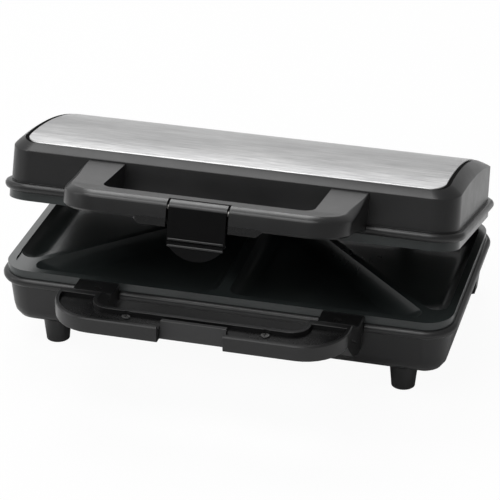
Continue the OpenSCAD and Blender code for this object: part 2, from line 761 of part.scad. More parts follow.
up_back = -half_d + lid_inset - seat_gap - 0.3;
up_bar_back = up_front + up_bar_d;
function lid_wall_top(y) = lid_wall_z + lid_wall_bulge * (1 - pow(y / (half_d - lid_inset), 2));
up_root_z = lid_wall_z - 0.5;
function up_top(y) = up_top_z
    + (up_root_z - up_top_z) * pow(max(0, y - up_bar_back) / (up_back - up_bar_back), 1.25);
function up_bottom(y) = ramp(y, low_ramp_0 + 1, up_back, up_bottom_z, up_root_low_z);

// Rows give an inset and a drop from the top, so the front edge is a broad bevel
up_edge = [[0, 4.2], [1.2, 2.2], [4, 0.35], [5, 0]];
up_stations = [for (i = [0:8]) up_bar_back + (up_back - up_bar_back) * i / 8];
function up_ring(inset, drop, top) = [for (p = loop_outline(up_half_w, up_front, up_back, up_r,
    inset, up_stations, top ? 0.15 : 1)) [p.x, p.y, top
        ? up_top(p.y) - drop * (1 - 0.85 * smooth((p.y - up_bar_back) / (up_back - up_bar_back)))
        : up_bottom(p.y) + drop]];

latch_gap = 1;
latch_pin_y = up_front + 4.4;
latch_pin_z = up_top_z - 5;
barrel_r = latch_pin_r + 1.5;
latch_slot_back = up_front + 6.9;

module latch_room() {
    w = 2 * (latch_half_w + latch_gap);
    along_x(w) {
        polygon([[up_front - 9, 40], [latch_pin_y + barrel_r + 0.4, 40],
            [latch_pin_y + barrel_r + 0.4, up_top_z - 1.7], [latch_slot_back, up_top_z - 1.7],
            [latch_slot_back, up_top_z + 9], [up_front - 9, up_top_z + 9]]);
    }
}

liner_back = low_bar_back - low_rim_w - 0.4;
liner_t = 1.8;
liner_screw_x = 32;
liner_screw_y = up_front + 7.4;

module liner_outline(grow) {
    difference() {
        translate([0, (up_front + liner_back) / 2])
            rounded(2 * (liner_half_w + grow), liner_back - up_front + 2 * grow, 2.5);
        translate([-latch_half_w - latch_gap + grow, up_front - 5])
            square([2 * (latch_half_w + latch_gap - grow), 16]);
        // clear of the rim behind the lower handle's notch when the lid is shut
        translate([-notch_half_w - 0.5 + grow, notch_low_y])
            square([2 * (notch_half_w + 0.5 - grow), notch_top_y - notch_low_y + low_rim_w + 0.5 - grow]);
    }
}

module upper_handle() {
    color([0.16, 0.16, 0.17]) in_lid() difference() {
        loft(concat([up_ring(1.4, 0, false), up_ring(0, 1.4, false)],
            [for (s = up_edge) up_ring(s[0], s[1], true)]));
        slab(0, 200) grip_hole(grip_half_w, up_bar_back, 8);
        latch_room();
        slab(0, up_bottom_z + liner_t) liner_outline(0.1);
        translate([0, latch_pin_y, latch_pin_z]) rotate([0, 90, 0])
            cylinder(r = latch_pin_r + run_gap, h = 2 * latch_half_w + 12, center = true);
        for (s = [-1, 1]) translate([s * liner_screw_x, liner_screw_y, 0]) cylinder(r = 1.25, h = up_top_z - 4);
        wall_screw_places() translate([0, 0, -2]) cylinder(r = 1.6, h = 14);
    }
}

// Screws that hold the upper handle's arms from inside the lid
wall_screw_z = 78;
module wall_screw_places() {
    for (s = [-1, 1]) translate([s * (up_half_w + grip_half_w) / 2, up_back, wall_screw_z])
        rotate([90, 0, 0]) children();
}

module upper_handle_liner() {
    color([0.13, 0.13, 0.14]) in_lid() difference() {
        slab(up_bottom_z - liner_drop, up_bottom_z + liner_t - 0.1) liner_outline(0);
        // sloped ends
        for (s = [0, 1]) mirror([s, 0, 0]) translate([0, liner_back + 1, 0]) rotate([90, 0, 0])
            linear_extrude(liner_back - up_front + 2) polygon([
                [liner_half_w + 1, up_bottom_z - liner_drop - 1], [liner_half_w + 1, up_bottom_z],
                [liner_half_w + 0.01, up_bottom_z], [liner_half_w - 3.5, up_bottom_z - liner_drop],
                [liner_half_w - 3.5, up_bottom_z - liner_drop - 1]]);
        for (s = [-1, 1]) translate([s * liner_screw_x, liner_screw_y, 0]) {
            cylinder(r = 1.5, h = 100);
            cylinder(r = handle_head_r + 0.2, h = up_bottom_z - liner_drop + 2);
        }
    }
}

module upper_handle_screws() {
    z = up_bottom_z - liner_drop + 2;
    color("silver") in_lid() wall_screw_places() {
        translate([0, 0, -9]) cylinder(r = 1.5, h = 19);
        translate([0, 0, -5.4]) cylinder(r = 3, h = 2);
    }
    color("silver") in_lid() for (s = [-1, 1]) translate([s * liner_screw_x, liner_screw_y, 0]) {
        translate([0, 0, z - 1.6]) cylinder(r = handle_head_r, h = 1.6);
        translate([0, 0, z - eps]) cylinder(r = 1.2, h = up_top_z - 5 - z);
    }
}

// ---------------------------------------------------------------- latch

hook_top = low_top_z - low_t - 0.5;
hook_t = 2.8;
rib_z = hook_top + 0.6;
latch_front = up_front;

module latch_profile() {
    in_y = latch_front + latch_t;
    translate([latch_pin_y, latch_pin_z]) circle(barrel_r);
    polygon([
        [latch_front + 4.9, up_top_z - 0.2], [latch_front + 4, up_top_z - 0.5],
        [latch_front + 1.2, up_top_z - 2.2],
        [latch_front, up_top_z - 4.3], [latch_front, rib_z + 1.6], [latch_front - 0.7, rib_z + 1.2],
        [latch_front, rib_z + 0.7], [latch_front, rib_z], [latch_front - 0.9, rib_z - 0.4],
        [latch_front - 0.2, rib_z - 1.1], [latch_front + 1.2, latch_low_z],
        [latch_front + 1.2 + latch_t * 0.8, latch_low_z],
        [in_y, hook_top - hook_t - 2], [in_y + hook_reach - 1.6, hook_top - hook_t],
        [in_y + hook_reach, hook_top - 0.8], [in_y + hook_reach, hook_top], [in_y, hook_top],
        [in_y, latch_pin_z - 6], [latch_pin_y, latch_pin_z - barrel_r * 0.9],
        [latch_pin_y, latch_pin_z + barrel_r * 0.9]]);
}

// Front view of the latch: straight sides and a half-round lower end
module latch_face() {
    tab_h = 11;
    translate([-latch_half_w, latch_low_z + tab_h])
        square([2 * latch_half_w, up_top_z - latch_low_z - tab_h + 2]);
    intersection() {
        translate([0, latch_low_z + tab_h + 10]) circle(tab_h + 10);
        translate([-latch_half_w, latch_low_z - 1]) square([2 * latch_half_w, tab_h + 2]);
    }
}

spring_len = 7;

module latch() {
    color([0.12, 0.12, 0.13]) in_lid() difference() {
        intersection() {
            along_x(2 * latch_half_w) latch_profile();
            translate([0, latch_front + 20, 0]) rotate([90, 0, 0]) linear_extrude(40) latch_face();
        }
        translate([0, latch_pin_y, latch_pin_z]) rotate([0, 90, 0])
            cylinder(r = latch_pin_r + run_gap, h = 100, center = true);
        // room for the spring round the pin
        translate([latch_half_w - spring_len, latch_pin_y, latch_pin_z]) rotate([0, 90, 0])
            cylinder(r = barrel_r - 0.6, h = spring_len + 1);
    }
}

module latch_pin() {
    color("silver") in_lid() translate([0, latch_pin_y, latch_pin_z]) rotate([0, 90, 0])
        cylinder(r = latch_pin_r, h = 2 * latch_half_w + 11, center = true);
}

module latch_spring() {
    color([0.6, 0.6, 0.62]) in_lid() translate([latch_half_w - spring_len + 0.3, latch_pin_y, latch_pin_z])
        rotate([0, 90, 0]) difference() {
            cylinder(r = barrel_r - 0.75, h = spring_len - 0.6);
            translate([0, 0, -1]) cylinder(r = latch_pin_r + run_gap, h = spring_len + 2);
        }
}

// ---------------------------------------------------------------- lid

crown_z0 = roof_top_z - roof_r;
front_at_y = -roof_crown_y - roof_front_at;
front_at_z = crown_z0 + sqrt(pow(roof_r, 2) - pow(roof_front_at, 2));
front_c = [front_at_y + roof_front_r * roof_front_at / roof_r,
    front_at_z - roof_front_r * sqrt(1 - pow(roof_front_at / roof_r, 2))];
function roof(y) = y > front_at_y
    ? crown_z0 + sqrt(pow(roof_r, 2) - pow(y + roof_crown_y, 2))
    : front_c.y + sqrt(pow(roof_front_r, 2) - pow(y - front_c.x, 2));

function blend(y, f) = lid_wall_top(y) * (1 - f) + roof(y) * f;

// Ring of the arched lid: f is 0 on the wall's top edge and 1 on the roof
function arch_ring(ix, iy, f, drop) = [for (p = outline(ix, iy, side_n)) [p.x, p.y, blend(p.y, f) - drop]];
function level_ring(inset, z) = [for (p = outline(inset, inset, side_n)) [p.x, p.y, z]];

// Rows run from the wall's top edge to the roof: share of the way in, share of the way up
shoulder = [[0, 0], [0.11, 0.34], [0.36, 0.74], [0.7, 0.95], [1, 1]];
recess_d = steel_t - 0.3;
skin_t = 3.4;

lid_rings = concat(
    [arch_ring(roof_edge_x + 1.5, roof_edge_y + 2.6, 1, skin_t),
        arch_ring(lid_inset + wall_t + 2.6, lid_inset + wall_t + 1.6, 0.55, 1.2),
        arch_ring(lid_inset + wall_t, lid_inset + wall_t, 0, 1.5),
        level_ring(base_inset_top + wall_t, up_lip_z), level_ring(bead_r + 0.2, up_lip_z)],
    [for (p = bead(up_bead_z, 1, -75, 75)) level_ring(p[0], p[1])],
    [level_ring(base_inset_top, up_bead_z + bead_r * 0.97)],
    [for (s = shoulder) arch_ring(lid_inset + s[0] * (roof_edge_x - lid_inset),
        lid_inset + s[0] * (roof_edge_y - lid_inset), s[1], 0)],
    [arch_ring(roof_edge_x + 0.05, roof_edge_y + 0.05, 1, recess_d + 0.05)]);

lug_root_y = half_d - lid_inset - wall_t + 1;

module hinge_lug() {
    along_x(lug_w) {
        translate([hinge_y, hinge_z]) circle(knuckle_r);
        polygon([[hinge_y - knuckle_r * 0.9, hinge_z + 3], [hinge_y + knuckle_r * 0.95, hinge_z + 1],
            [hinge_y + 2, hinge_z + 16], [lug_root_y + 4, lid_wall_z - 7], [lug_root_y, lid_wall_z - 9],
            [lug_root_y, up_bead_z + 6]]);
    }
}

up_tray_z = parting_z + shut_gap / 2 - tray_floor;
lid_head_z = up_tray_z + 8;

module lid_housing() {
    color([0.16, 0.16, 0.17]) in_lid() difference() {
        union() {
            loft(lid_rings);
            both_sides() translate([hinge_x, 0, 0]) hinge_lug();
            for (x = [-1, 1], y = [-1, 1]) translate([x * boss_x, y * boss_y, up_tray_z])
                cylinder(r = boss_r, h = roof(y * (boss_y + boss_r)) - recess_d - 0.3 - up_tray_z);
        }
        both_sides() translate([hinge_x, hinge_y, hinge_z]) rotate([0, 90, 0])
            cylinder(r = hinge_pin_r + run_gap, h = lug_w + 2, center = true);
        boss_places() {
            translate([0, 0, up_tray_z - 1]) cylinder(r = screw_r + 0.3, h = 40);
            translate([0, 0, lid_head_z]) cylinder(r = head_r + 0.5, h = 40);
        }
        wall_screw_places() translate([0, 0, -12]) cylinder(r = 1.6, h = 14);
        // the rim stops where the handle's arms meet the wall
        both_sides() translate([grip_half_w - 0.3, -half_d - 6, up_root_low_z - 3])
            cube([up_half_w - grip_half_w + 0.6, 6 + base_inset_top, up_bead_z + 4 - up_root_low_z + 3]);
    }
}

module upper_plate_screws() {
    color("silver") in_lid() boss_places() {
        translate([0, 0, lid_head_z]) cylinder(r = head_r, h = head_h);
        translate([0, 0, up_tray_z - tray_t - 9])
            cylinder(r = screw_r, h = lid_head_z - up_tray_z + tray_t + 9 + eps);
    }
}

// Half-plane behind the line where the two arches of the roof meet
module behind_joint() {
    translate([front_at_y, front_at_z]) rotate(asin(roof_front_at / roof_r))
        translate([0, -40]) square([220, 80]);
}

module ahead_of_joint() {
    translate([front_at_y, front_at_z]) rotate(asin(roof_front_at / roof_r)) translate([-60, -40]) square([60, 80]);
}

module roof_band(low, high) {
    intersection() {
        translate([-roof_crown_y, crown_z0]) difference() {
            circle(roof_r + high, $fn = 480);
            circle(roof_r + low, $fn = 480);
        }
        behind_joint();
    }
    intersection() {
        translate(front_c) difference() {
            circle(roof_front_r + high, $fn = 240);
            circle(roof_front_r + low, $fn = 240);
        }
        ahead_of_joint();
    }
}

module steel_cover() {
    color([0.72, 0.72, 0.73]) in_lid() intersection() {
        along_x(rim_w) roof_band(-recess_d, steel_t - recess_d);
        slab(roof_top_z - 60, roof_top_z + 20) rounded(
            rim_w - 2 * (roof_edge_x + end_gap), rim_d - 2 * (roof_edge_y + steel_gap),
            rim_r - (roof_edge_x + roof_edge_y) / 2 - steel_gap);
    }
}

// ---------------------------------------------------------------- hinge

module hinge_pins() {
    len = lug_w + 1 + 2 * ear_w;
    color("silver") in_base() both_sides() translate([hinge_x, hinge_y, hinge_z]) rotate([0, 90, 0]) {
        cylinder(r = hinge_pin_r, h = len + 1.6, center = true);
        translate([0, 0, len / 2 + eps]) cylinder(r = hinge_pin_r + 1.6, h = 1.6);
    }
}

// ---------------------------------------------------------------- assembly

base_housing();
service_cover();
service_cover_screws();
foot_pads();
lower_reflector();
lower_element();
lower_plate();
lower_plate_screws();
thermostat();
thermal_fuse();
terminal_block();
internal_leads();
cord_gland();
lower_handle();
lower_handle_insert();
lower_handle_screws();
hinge_pins();
lid_housing();
steel_cover();
upper_reflector();
upper_element();
upper_plate();
upper_plate_screws();
upper_handle();
upper_handle_liner();
upper_handle_screws();
latch();
latch_pin();
latch_spring();
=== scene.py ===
import json
import math

import bmesh
import bpy
from mathutils import Matrix, Vector


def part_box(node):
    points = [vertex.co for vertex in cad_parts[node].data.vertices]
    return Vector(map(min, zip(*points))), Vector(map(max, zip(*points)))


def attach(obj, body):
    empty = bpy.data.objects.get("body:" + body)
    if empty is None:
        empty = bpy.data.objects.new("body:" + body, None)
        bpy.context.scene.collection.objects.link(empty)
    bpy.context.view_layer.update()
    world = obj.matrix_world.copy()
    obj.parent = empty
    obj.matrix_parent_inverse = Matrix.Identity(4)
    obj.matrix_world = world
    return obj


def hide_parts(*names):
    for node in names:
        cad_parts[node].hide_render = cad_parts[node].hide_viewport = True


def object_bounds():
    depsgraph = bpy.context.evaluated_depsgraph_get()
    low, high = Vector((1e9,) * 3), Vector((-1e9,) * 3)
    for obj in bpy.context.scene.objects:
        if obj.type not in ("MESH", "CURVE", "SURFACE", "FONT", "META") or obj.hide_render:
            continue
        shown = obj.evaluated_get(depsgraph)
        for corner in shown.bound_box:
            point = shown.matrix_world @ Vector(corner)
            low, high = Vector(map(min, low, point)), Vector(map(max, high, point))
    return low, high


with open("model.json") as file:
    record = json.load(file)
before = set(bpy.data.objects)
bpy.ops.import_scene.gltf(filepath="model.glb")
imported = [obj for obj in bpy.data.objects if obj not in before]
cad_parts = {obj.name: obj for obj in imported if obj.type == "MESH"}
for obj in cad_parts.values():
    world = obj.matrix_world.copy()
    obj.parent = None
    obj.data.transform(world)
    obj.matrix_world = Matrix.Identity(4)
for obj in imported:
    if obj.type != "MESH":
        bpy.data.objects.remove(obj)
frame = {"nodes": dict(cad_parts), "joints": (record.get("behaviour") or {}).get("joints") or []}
cad_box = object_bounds()

scene = bpy.context.scene
scene.view_settings.view_transform = "Standard"


# Camera: the photograph's view, a long lens in front of the part, a little to its right and above

AIM = Vector((0, 0.03325, 0.05))
AZIMUTH = math.radians(14.771)
ELEVATION = math.radians(27.438)
ROLL = math.radians(0.269)
DISTANCE = 1.5746
SLIDE_RIGHT = -0.003238
SLIDE_UP = -0.002277
LENS_MM = 170.94
SENSOR_MM = 36
SEES_TO = 50


def place_camera():
    """Puts the camera where the photograph was taken from."""
    back = Vector((math.sin(AZIMUTH) * math.cos(ELEVATION),
                   -math.cos(AZIMUTH) * math.cos(ELEVATION),
                   math.sin(ELEVATION)))
    level = Vector((math.cos(AZIMUTH), math.sin(AZIMUTH), 0))
    upright = level.cross(-back)
    right = math.cos(ROLL) * level + math.sin(ROLL) * upright
    up = -math.sin(ROLL) * level + math.cos(ROLL) * upright
    lens = bpy.data.cameras.new("camera")
    lens.lens = LENS_MM
    lens.sensor_width = SENSOR_MM
    lens.clip_end = SEES_TO
    camera = bpy.data.objects.new("camera", lens)
    scene.collection.objects.link(camera)
    turn = Matrix((right, up, back)).transposed().to_4x4()
    place = AIM + DISTANCE * back + SLIDE_RIGHT * right + SLIDE_UP * up
    camera.matrix_world = Matrix.Translation(place) @ turn
    scene.camera = camera


place_camera()


# Shader building

NOISE_LOW = 0.3    # nearly all of a noise lies between these two
NOISE_HIGH = 0.7


class Wire:
    """A socket whose sums and products add Math nodes."""

    def __init__(self, tree, socket):
        self.tree = tree
        self.socket = socket

    def math(self, operation, one, two):
        return self.tree.wire("ShaderNodeMath", {"operation": operation}, {0: one, 1: two})

    def __add__(self, other):
        return self.math("ADD", self, other)

    def __radd__(self, other):
        return self.math("ADD", other, self)

    def __mul__(self, other):
        return self.math("MULTIPLY", self, other)

    def __rmul__(self, other):
        return self.math("MULTIPLY", other, self)


class ShaderTree:
    """A tree of shader nodes, emptied and ready to be built."""

    def __init__(self, tree):
        self.tree = tree
        self.tree.nodes.clear()

    def node(self, kind, settings, values):
        """Adds a node: its settings first, then its sockets' values or links."""
        node = self.tree.nodes.new(kind)
        for name, value in settings.items():
            if name == "stops":
                for stop, (at, colour) in zip(self.stops(node, len(value)), value):
                    stop.position = at
                    stop.color = (*colour, 1)
            else:
                setattr(node, name, value)
        for name, value in values.items():
            socket = node.inputs[name]
            value = value.socket if isinstance(value, Wire) else value
            if isinstance(value, bpy.types.NodeSocket):
                self.tree.links.new(value, socket)
            else:
                socket.default_value = value
        return node

    def stops(self, node, count):
        """The ramp's stops, as many as asked for."""
        while len(node.color_ramp.elements) < count:
            node.color_ramp.elements.new(0.5)
        return list(node.color_ramp.elements)

    def wire(self, kind, settings, values):
        """As node, but gives its first output, ready for sums."""
        return Wire(self, self.node(kind, settings, values).outputs[0])


class Finish(ShaderTree):
    """One procedural material, built on the piece's own coordinates."""

    def __init__(self, name):
        self.material = bpy.data.materials.new(name)
        self.material.use_nodes = True
        super().__init__(self.material.node_tree)
        self.place = self.node("ShaderNodeTexCoord", {}, {}).outputs["Object"]

    def stretched(self, scale):
        """The piece's coordinates, scaled along each axis."""
        return self.wire("ShaderNodeMapping", {}, {"Vector": self.place, "Scale": scale})

    def noise(self, scale, detail, rough, at=None):
        """Noise from 0 to 1, with scale in grains a metre."""
        values = {"Vector": at or self.place, "Scale": scale, "Detail": detail, "Roughness": rough}
        return self.wire("ShaderNodeTexNoise", {}, values)

    def streaks(self, stretch, detail, rough):
        """Noise stretched along each axis, in grains a metre."""
        return self.noise(1.0, detail, rough, self.stretched(stretch))

    def colours(self, factor, *stops):
        """A colour ramp over factor."""
        return self.wire("ShaderNodeValToRGB", {"stops": stops}, {"Fac": factor})

    def gloss(self, factor, shiny, dull):
        """Roughness that a noise carries from shiny to dull."""
        values = {"Value": factor, "From Min": NOISE_LOW, "From Max": NOISE_HIGH,
                  "To Min": shiny, "To Max": dull}
        return self.wire("ShaderNodeMapRange", {}, values)

    def bump(self, height, distance):
        """A normal from a height, with the relief's depth in metres."""
        values = {"Height": height, "Distance": distance, "Strength": 1.0}
        return self.wire("ShaderNodeBump", {}, values)

    def close(self, **values):
        """Adds the surface shader and the output."""
        named = {name.replace("_", " "): value for name, value in values.items()}
        shader = self.node("ShaderNodeBsdfPrincipled", {}, named)
        self.node("ShaderNodeOutputMaterial", {}, {"Surface": shader.outputs[0]})
        return self.material


def moulded_plastic(name, dark, light, rough, grain, depth, specular):
    """Black moulded plastic with a fine spark-eroded texture and slow flow marks."""
    f = Finish(name)
    pebble = f.noise(grain, detail=3.0, rough=0.6)
    flow = f.noise(14.0, detail=2.0, rough=0.5)
    fingers = f.noise(55.0, detail=4.0, rough=0.6)
    tone = f.colours(pebble * 0.35 + flow * 0.65, (0.3, dark), (0.72, light))
    gloss = f.gloss(fingers * 0.6 + pebble * 0.4, rough - 0.045, rough + 0.055)
    return f.close(Base_Color=tone, Roughness=gloss, Normal=f.bump(pebble, depth),
                   Specular_IOR_Level=specular)


def brushed_steel(name):
    """Stainless sheet brushed along its length: long fine lines of uneven depth."""
    f = Finish(name)
    fine = f.streaks((70, 1900, 1900), detail=2.0, rough=0.7)
    middle = f.streaks((48, 760, 760), detail=3.0, rough=0.65)
    broad = f.streaks((12, 90, 90), detail=2.0, rough=0.5)
    cloud = f.streaks((14, 26, 26), detail=2.0, rough=0.5)
    lines = fine * 0.3 + middle * 0.4 + broad * 0.15 + cloud * 0.15
    tone = f.colours(lines, (0.34, (0.21, 0.21, 0.213)), (0.5, (0.36, 0.36, 0.362)),
                     (0.66, (0.54, 0.54, 0.537)))
    return f.close(Base_Color=tone, Metallic=1.0, Roughness=f.gloss(lines, 0.26, 0.4),
                   Normal=f.bump(lines, 0.00003))


def nonstick(name):
    """Grey non-stick coating over cast aluminium, with a faint orange peel and metal specks."""
    f = Finish(name)
    peel = f.noise(260.0, detail=1.0, rough=0.5)
    speck = f.noise(2600.0, detail=1.0, rough=0.5)
    cloud = f.noise(18.0, detail=3.0, rough=0.5)
    tone = f.colours(cloud * 0.92 + speck * 0.08, (0.36, (0.017, 0.0205, 0.0205)),
                     (0.66, (0.028, 0.0335, 0.033)))
    gloss = f.gloss(peel * 0.2 + cloud * 0.8, 0.27, 0.33)
    return f.close(Base_Color=tone, Metallic=0.1, Roughness=gloss, Coat_Weight=0.2,
                   Coat_Roughness=0.2, Normal=f.bump(peel, 0.000006))


def metal(name, dark, light, rough, grain, depth):
    """Bare or plated metal with small stains and a fine surface."""
    f = Finish(name)
    fine = f.noise(grain, detail=2.0, rough=0.5)
    stain = f.noise(90.0, detail=4.0, rough=0.6)
    tone = f.colours(fine * 0.4 + stain * 0.6, (0.3, dark), (0.7, light))
    gloss = f.gloss(stain, rough - 0.05, rough + 0.08)
    return f.close(Base_Color=tone, Metallic=1.0, Roughness=gloss, Normal=f.bump(fine, depth))


def plain(name, dark, light, rough, grain, depth):
    """Rubber or ceramic: a matt body with a slight unevenness."""
    f = Finish(name)
    fine = f.noise(grain, detail=3.0, rough=0.6)
    cloud = f.noise(45.0, detail=2.0, rough=0.5)
    tone = f.colours(fine * 0.4 + cloud * 0.6, (0.3, dark), (0.7, light))
    gloss = f.gloss(cloud, rough - 0.06, rough + 0.06)
    return f.close(Base_Color=tone, Roughness=gloss, Normal=f.bump(fine, depth))


SATIN = moulded_plastic("satin_black_plastic", (0.007,) * 3, (0.0115, 0.0115, 0.012),
                        rough=0.32, grain=1500, depth=0.000007, specular=0.46)
GRIP = moulded_plastic("handle_black_plastic", (0.0055,) * 3, (0.0095, 0.0095, 0.01),
                       rough=0.31, grain=1300, depth=0.000006, specular=0.46)
# The insert and liner plastic: a little glossier than the handle, and darker, which is painted shade of
# the recess and of the handle's underside
INLAY_SHADED = moulded_plastic("inlay_black_plastic_painted_shade", (0.003,) * 3, (0.0052, 0.0052, 0.0055),
                        rough=0.27, grain=1300, depth=0.000008, specular=0.4)
# The latch's face: a darker, duller copy of the handle's plastic, painted shade where the face reads dark
LATCH = moulded_plastic("latch_face_painted_shade", (0.0012,) * 3, (0.0022, 0.0022, 0.0024),
                        rough=0.4, grain=1300, depth=0.000006, specular=0.1)
# The notch's ramp: rough and bumpy as a textured patch, and lighter in colour than the handle around it,
# which is painted sheen where the ramp faces the light
RAMP = moulded_plastic("ramp_textured_plastic_painted_sheen", (0.02,) * 3, (0.032, 0.032, 0.033),
                       rough=0.55, grain=1100, depth=0.00003, specular=0.5)
# A near-black, dull sheet laid in the recess round the steel cover: painted shade for the gap line
SHADE_SHEET = moulded_plastic("painted_shade_sheet", (0.001,) * 3, (0.002,) * 3,
                       rough=0.8, grain=1500, depth=0.00002, specular=0.05)
STEEL = brushed_steel("brushed_stainless")
COATING = nonstick("nonstick_coating")
PLATED = metal("zinc_plated_steel", (0.32, 0.32, 0.31), (0.5, 0.49, 0.47),
               rough=0.3, grain=900, depth=0.000008)
DARK_SCREW = metal("blackened_steel", (0.07, 0.07, 0.07), (0.15, 0.15, 0.148),
                   rough=0.34, grain=900, depth=0.000008)
SHEATH = metal("element_sheath", (0.16, 0.15, 0.145), (0.27, 0.26, 0.25),
               rough=0.42, grain=700, depth=0.000015)
SHEET = metal("bright_aluminised_sheet", (0.5, 0.5, 0.5), (0.66, 0.66, 0.65),
              rough=0.26, grain=500, depth=0.00001)
RUBBER = plain("black_rubber", (0.006,) * 3, (0.011,) * 3,
               rough=0.72, grain=900, depth=0.00003)
CERAMIC = plain("white_ceramic", (0.6, 0.59, 0.56), (0.72, 0.71, 0.68),
                rough=0.5, grain=700, depth=0.00001)

FINISHES = {
    "base_housing": SATIN,
    "service_cover": SATIN,
    "service_cover_screws": PLATED,
    "foot_pads": RUBBER,
    "lower_reflector": SHEET,
    "lower_element": SHEATH,
    "lower_plate": COATING,
    "lower_plate_screws": PLATED,
    "thermostat": CERAMIC,
    "thermal_fuse": CERAMIC,
    "terminal_block": CERAMIC,
    "internal_leads": CERAMIC,
    "cord_gland": RUBBER,
    "lower_handle": GRIP,
    "lower_handle_insert": INLAY_SHADED,
    "lower_handle_screws": DARK_SCREW,
    "hinge_pins": PLATED,
    "lid_housing": SATIN,
    "steel_cover": STEEL,
    "upper_reflector": SHEET,
    "upper_element": SHEATH,
    "upper_plate": COATING,
    "upper_plate_screws": PLATED,
    "upper_handle": GRIP,
    "upper_handle_liner": INLAY_SHADED,
    "upper_handle_screws": PLATED,
    "latch": LATCH,
    "latch_pin": PLATED,
    "latch_spring": PLATED,
}

for name, finish in FINISHES.items():
    for slot in frame["nodes"][name].material_slots:
        slot.material = finish


# The lid's own frame: the lid turned shut about its hinge, with Y measured from the middle of the rim

HINGE = Vector(frame["joints"][0]["pos_m"])
OPENED = math.radians(-frame["joints"][0]["range_deg"][0])
SHUT = Matrix.Rotation(OPENED, 3, "X")
RIM_Y = sum(corner.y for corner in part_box("lower_plate")) / 2
LID_HALF_D = 0.0731
LID_WALL_TOP = 0.0899
LID_WALL_BULGE = 0.006
ROOF_TOP = 0.1025
ROOF_R = 0.3
ROOF_FRONT_R = 0.112
ROOF_CROWN_Y = 0.0098      # the crown lies this far in front of the middle
ROOF_FRONT_AT = 0.0382     # from the crown forward to where the tighter arc begins
ROOF_HALF_W = 0.138
ROOF_HALF_D = 0.0692
ROOF_CORNER_R = 0.0106


def shut(point):
    """A point of the open lid, as it lies with the lid shut."""
    turned = HINGE + SHUT @ (point - HINGE)
    return Vector((turned.x, turned.y - RIM_Y, turned.z))


def opened(point):
    """The way back: a point given with the lid shut, on the open lid."""
    return HINGE + SHUT.transposed() @ (Vector((point[0], point[1] + RIM_Y, point[2])) - HINGE)


def wall_top(y):
    """Height of the lid wall's upper edge, which bows upwards along the ends."""
    return LID_WALL_TOP + LID_WALL_BULGE * (1 - (y / LID_HALF_D) ** 2)


def roof(y):
    """Height of the arched roof: a wide arc that runs into a tighter one at the front."""
    ahead = ROOF_FRONT_AT / ROOF_R
    joint_y = -ROOF_CROWN_Y - ROOF_FRONT_AT
    joint_z = ROOF_TOP - ROOF_R + math.sqrt(ROOF_R ** 2 - ROOF_FRONT_AT ** 2)
    if y > joint_y:
        return ROOF_TOP - ROOF_R + math.sqrt(ROOF_R ** 2 - (y + ROOF_CROWN_Y) ** 2)
    centre_y = joint_y + ROOF_FRONT_R * ahead
    centre_z = joint_z - ROOF_FRONT_R * math.sqrt(1 - ahead ** 2)
    return centre_z + math.sqrt(ROOF_FRONT_R ** 2 - (y - centre_y) ** 2)


def past_roof_edge(x, y):
    """How far a point lies outside the edge of the recess that holds the steel cover."""
    over_x = max(abs(x) - ROOF_HALF_W + ROOF_CORNER_R, 0)
    over_y = max(abs(y) - ROOF_HALF_D + ROOF_CORNER_R, 0)
    return math.hypot(over_x, over_y) - ROOF_CORNER_R


# Moulded, cast and pressed pieces: the node's form with its edges rounded as the tool left them

MERGE_WITHIN = 0.000004                 # corners closer than this are one corner
FLAT_WITHIN = math.radians(0.6)         # faces that turn less than this are one face
SMOOTH_WITHIN = math.radians(34)        # edges that turn less than this are shaded as a curve
BROAD_FACES_COUNT = 75                  # how much more a broad face sways the shading
HAIR = 0.0001                           # a tenth of a millimetre, the slack of a test on a place
ROLL_SEGMENTS = 4


def only(piece):
    """Selects one piece and makes it the active one."""
    bpy.ops.object.select_all(action="DESELECT")
    piece.select_set(True)
    bpy.context.view_layer.objects.active = piece


def skin_of(node, name, join_flats):
    """A copy of a node with its corners merged into one closed skin, alone selected."""
    piece = bpy.data.objects.new(name, frame["nodes"][node].data.copy())
    scene.collection.objects.link(piece)
    only(piece)
    bpy.ops.mesh.customdata_custom_splitnormals_clear()
    bpy.ops.object.mode_set(mode="EDIT")
    bpy.ops.mesh.select_all(action="SELECT")
    bpy.ops.mesh.remove_doubles(threshold=MERGE_WITHIN)
    if join_flats:
        bpy.ops.mesh.dissolve_limited(angle_limit=FLAT_WITHIN)
    bpy.ops.object.mode_set(mode="OBJECT")
    return piece


def roll_edges(piece, chosen, width):
    """Rounds off the edges that pass a test on the edge."""
    only(piece)
    bpy.ops.object.mode_set(mode="EDIT")
    bpy.ops.mesh.select_mode(type="EDGE")
    bpy.ops.mesh.select_all(action="DESELECT")
    mesh = bmesh.from_edit_mesh(piece.data)
    for edge in mesh.edges:
        edge.select = len(edge.link_faces) == 2 and chosen(edge)
    bmesh.update_edit_mesh(piece.data)
    bpy.ops.mesh.bevel(offset=width, segments=ROLL_SEGMENTS, affect="EDGES", clamp_overlap=True)
    bpy.ops.object.mode_set(mode="OBJECT")


def round_edges(piece, width, sharp, segments):
    """Rounds every edge that turns more than the sharp angle."""
    bevel = piece.modifiers.new("edges", "BEVEL")
    bevel.width = width
    bevel.segments = segments
    bevel.limit_method = "ANGLE"
    bevel.angle_limit = math.radians(sharp)
    bevel.miter_outer = "MITER_ARC"
    bevel.use_clamp_overlap = True
    bpy.ops.object.modifier_apply(modifier=bevel.name)


def smooth_curves(piece):
    """Shades the curves smoothly and keeps the broad flat faces flat."""
    bpy.ops.object.shade_smooth_by_angle(angle=SMOOTH_WITHIN)
    flats = piece.modifiers.new("flats", "WEIGHTED_NORMAL")
    flats.keep_sharp = True
    flats.weight = BROAD_FACES_COUNT
    bpy.ops.object.modifier_apply(modifier=flats.name)


def coat(piece, finish):
    """Gives a piece one finish all over."""
    piece.data.materials.clear()
    piece.data.materials.append(finish)


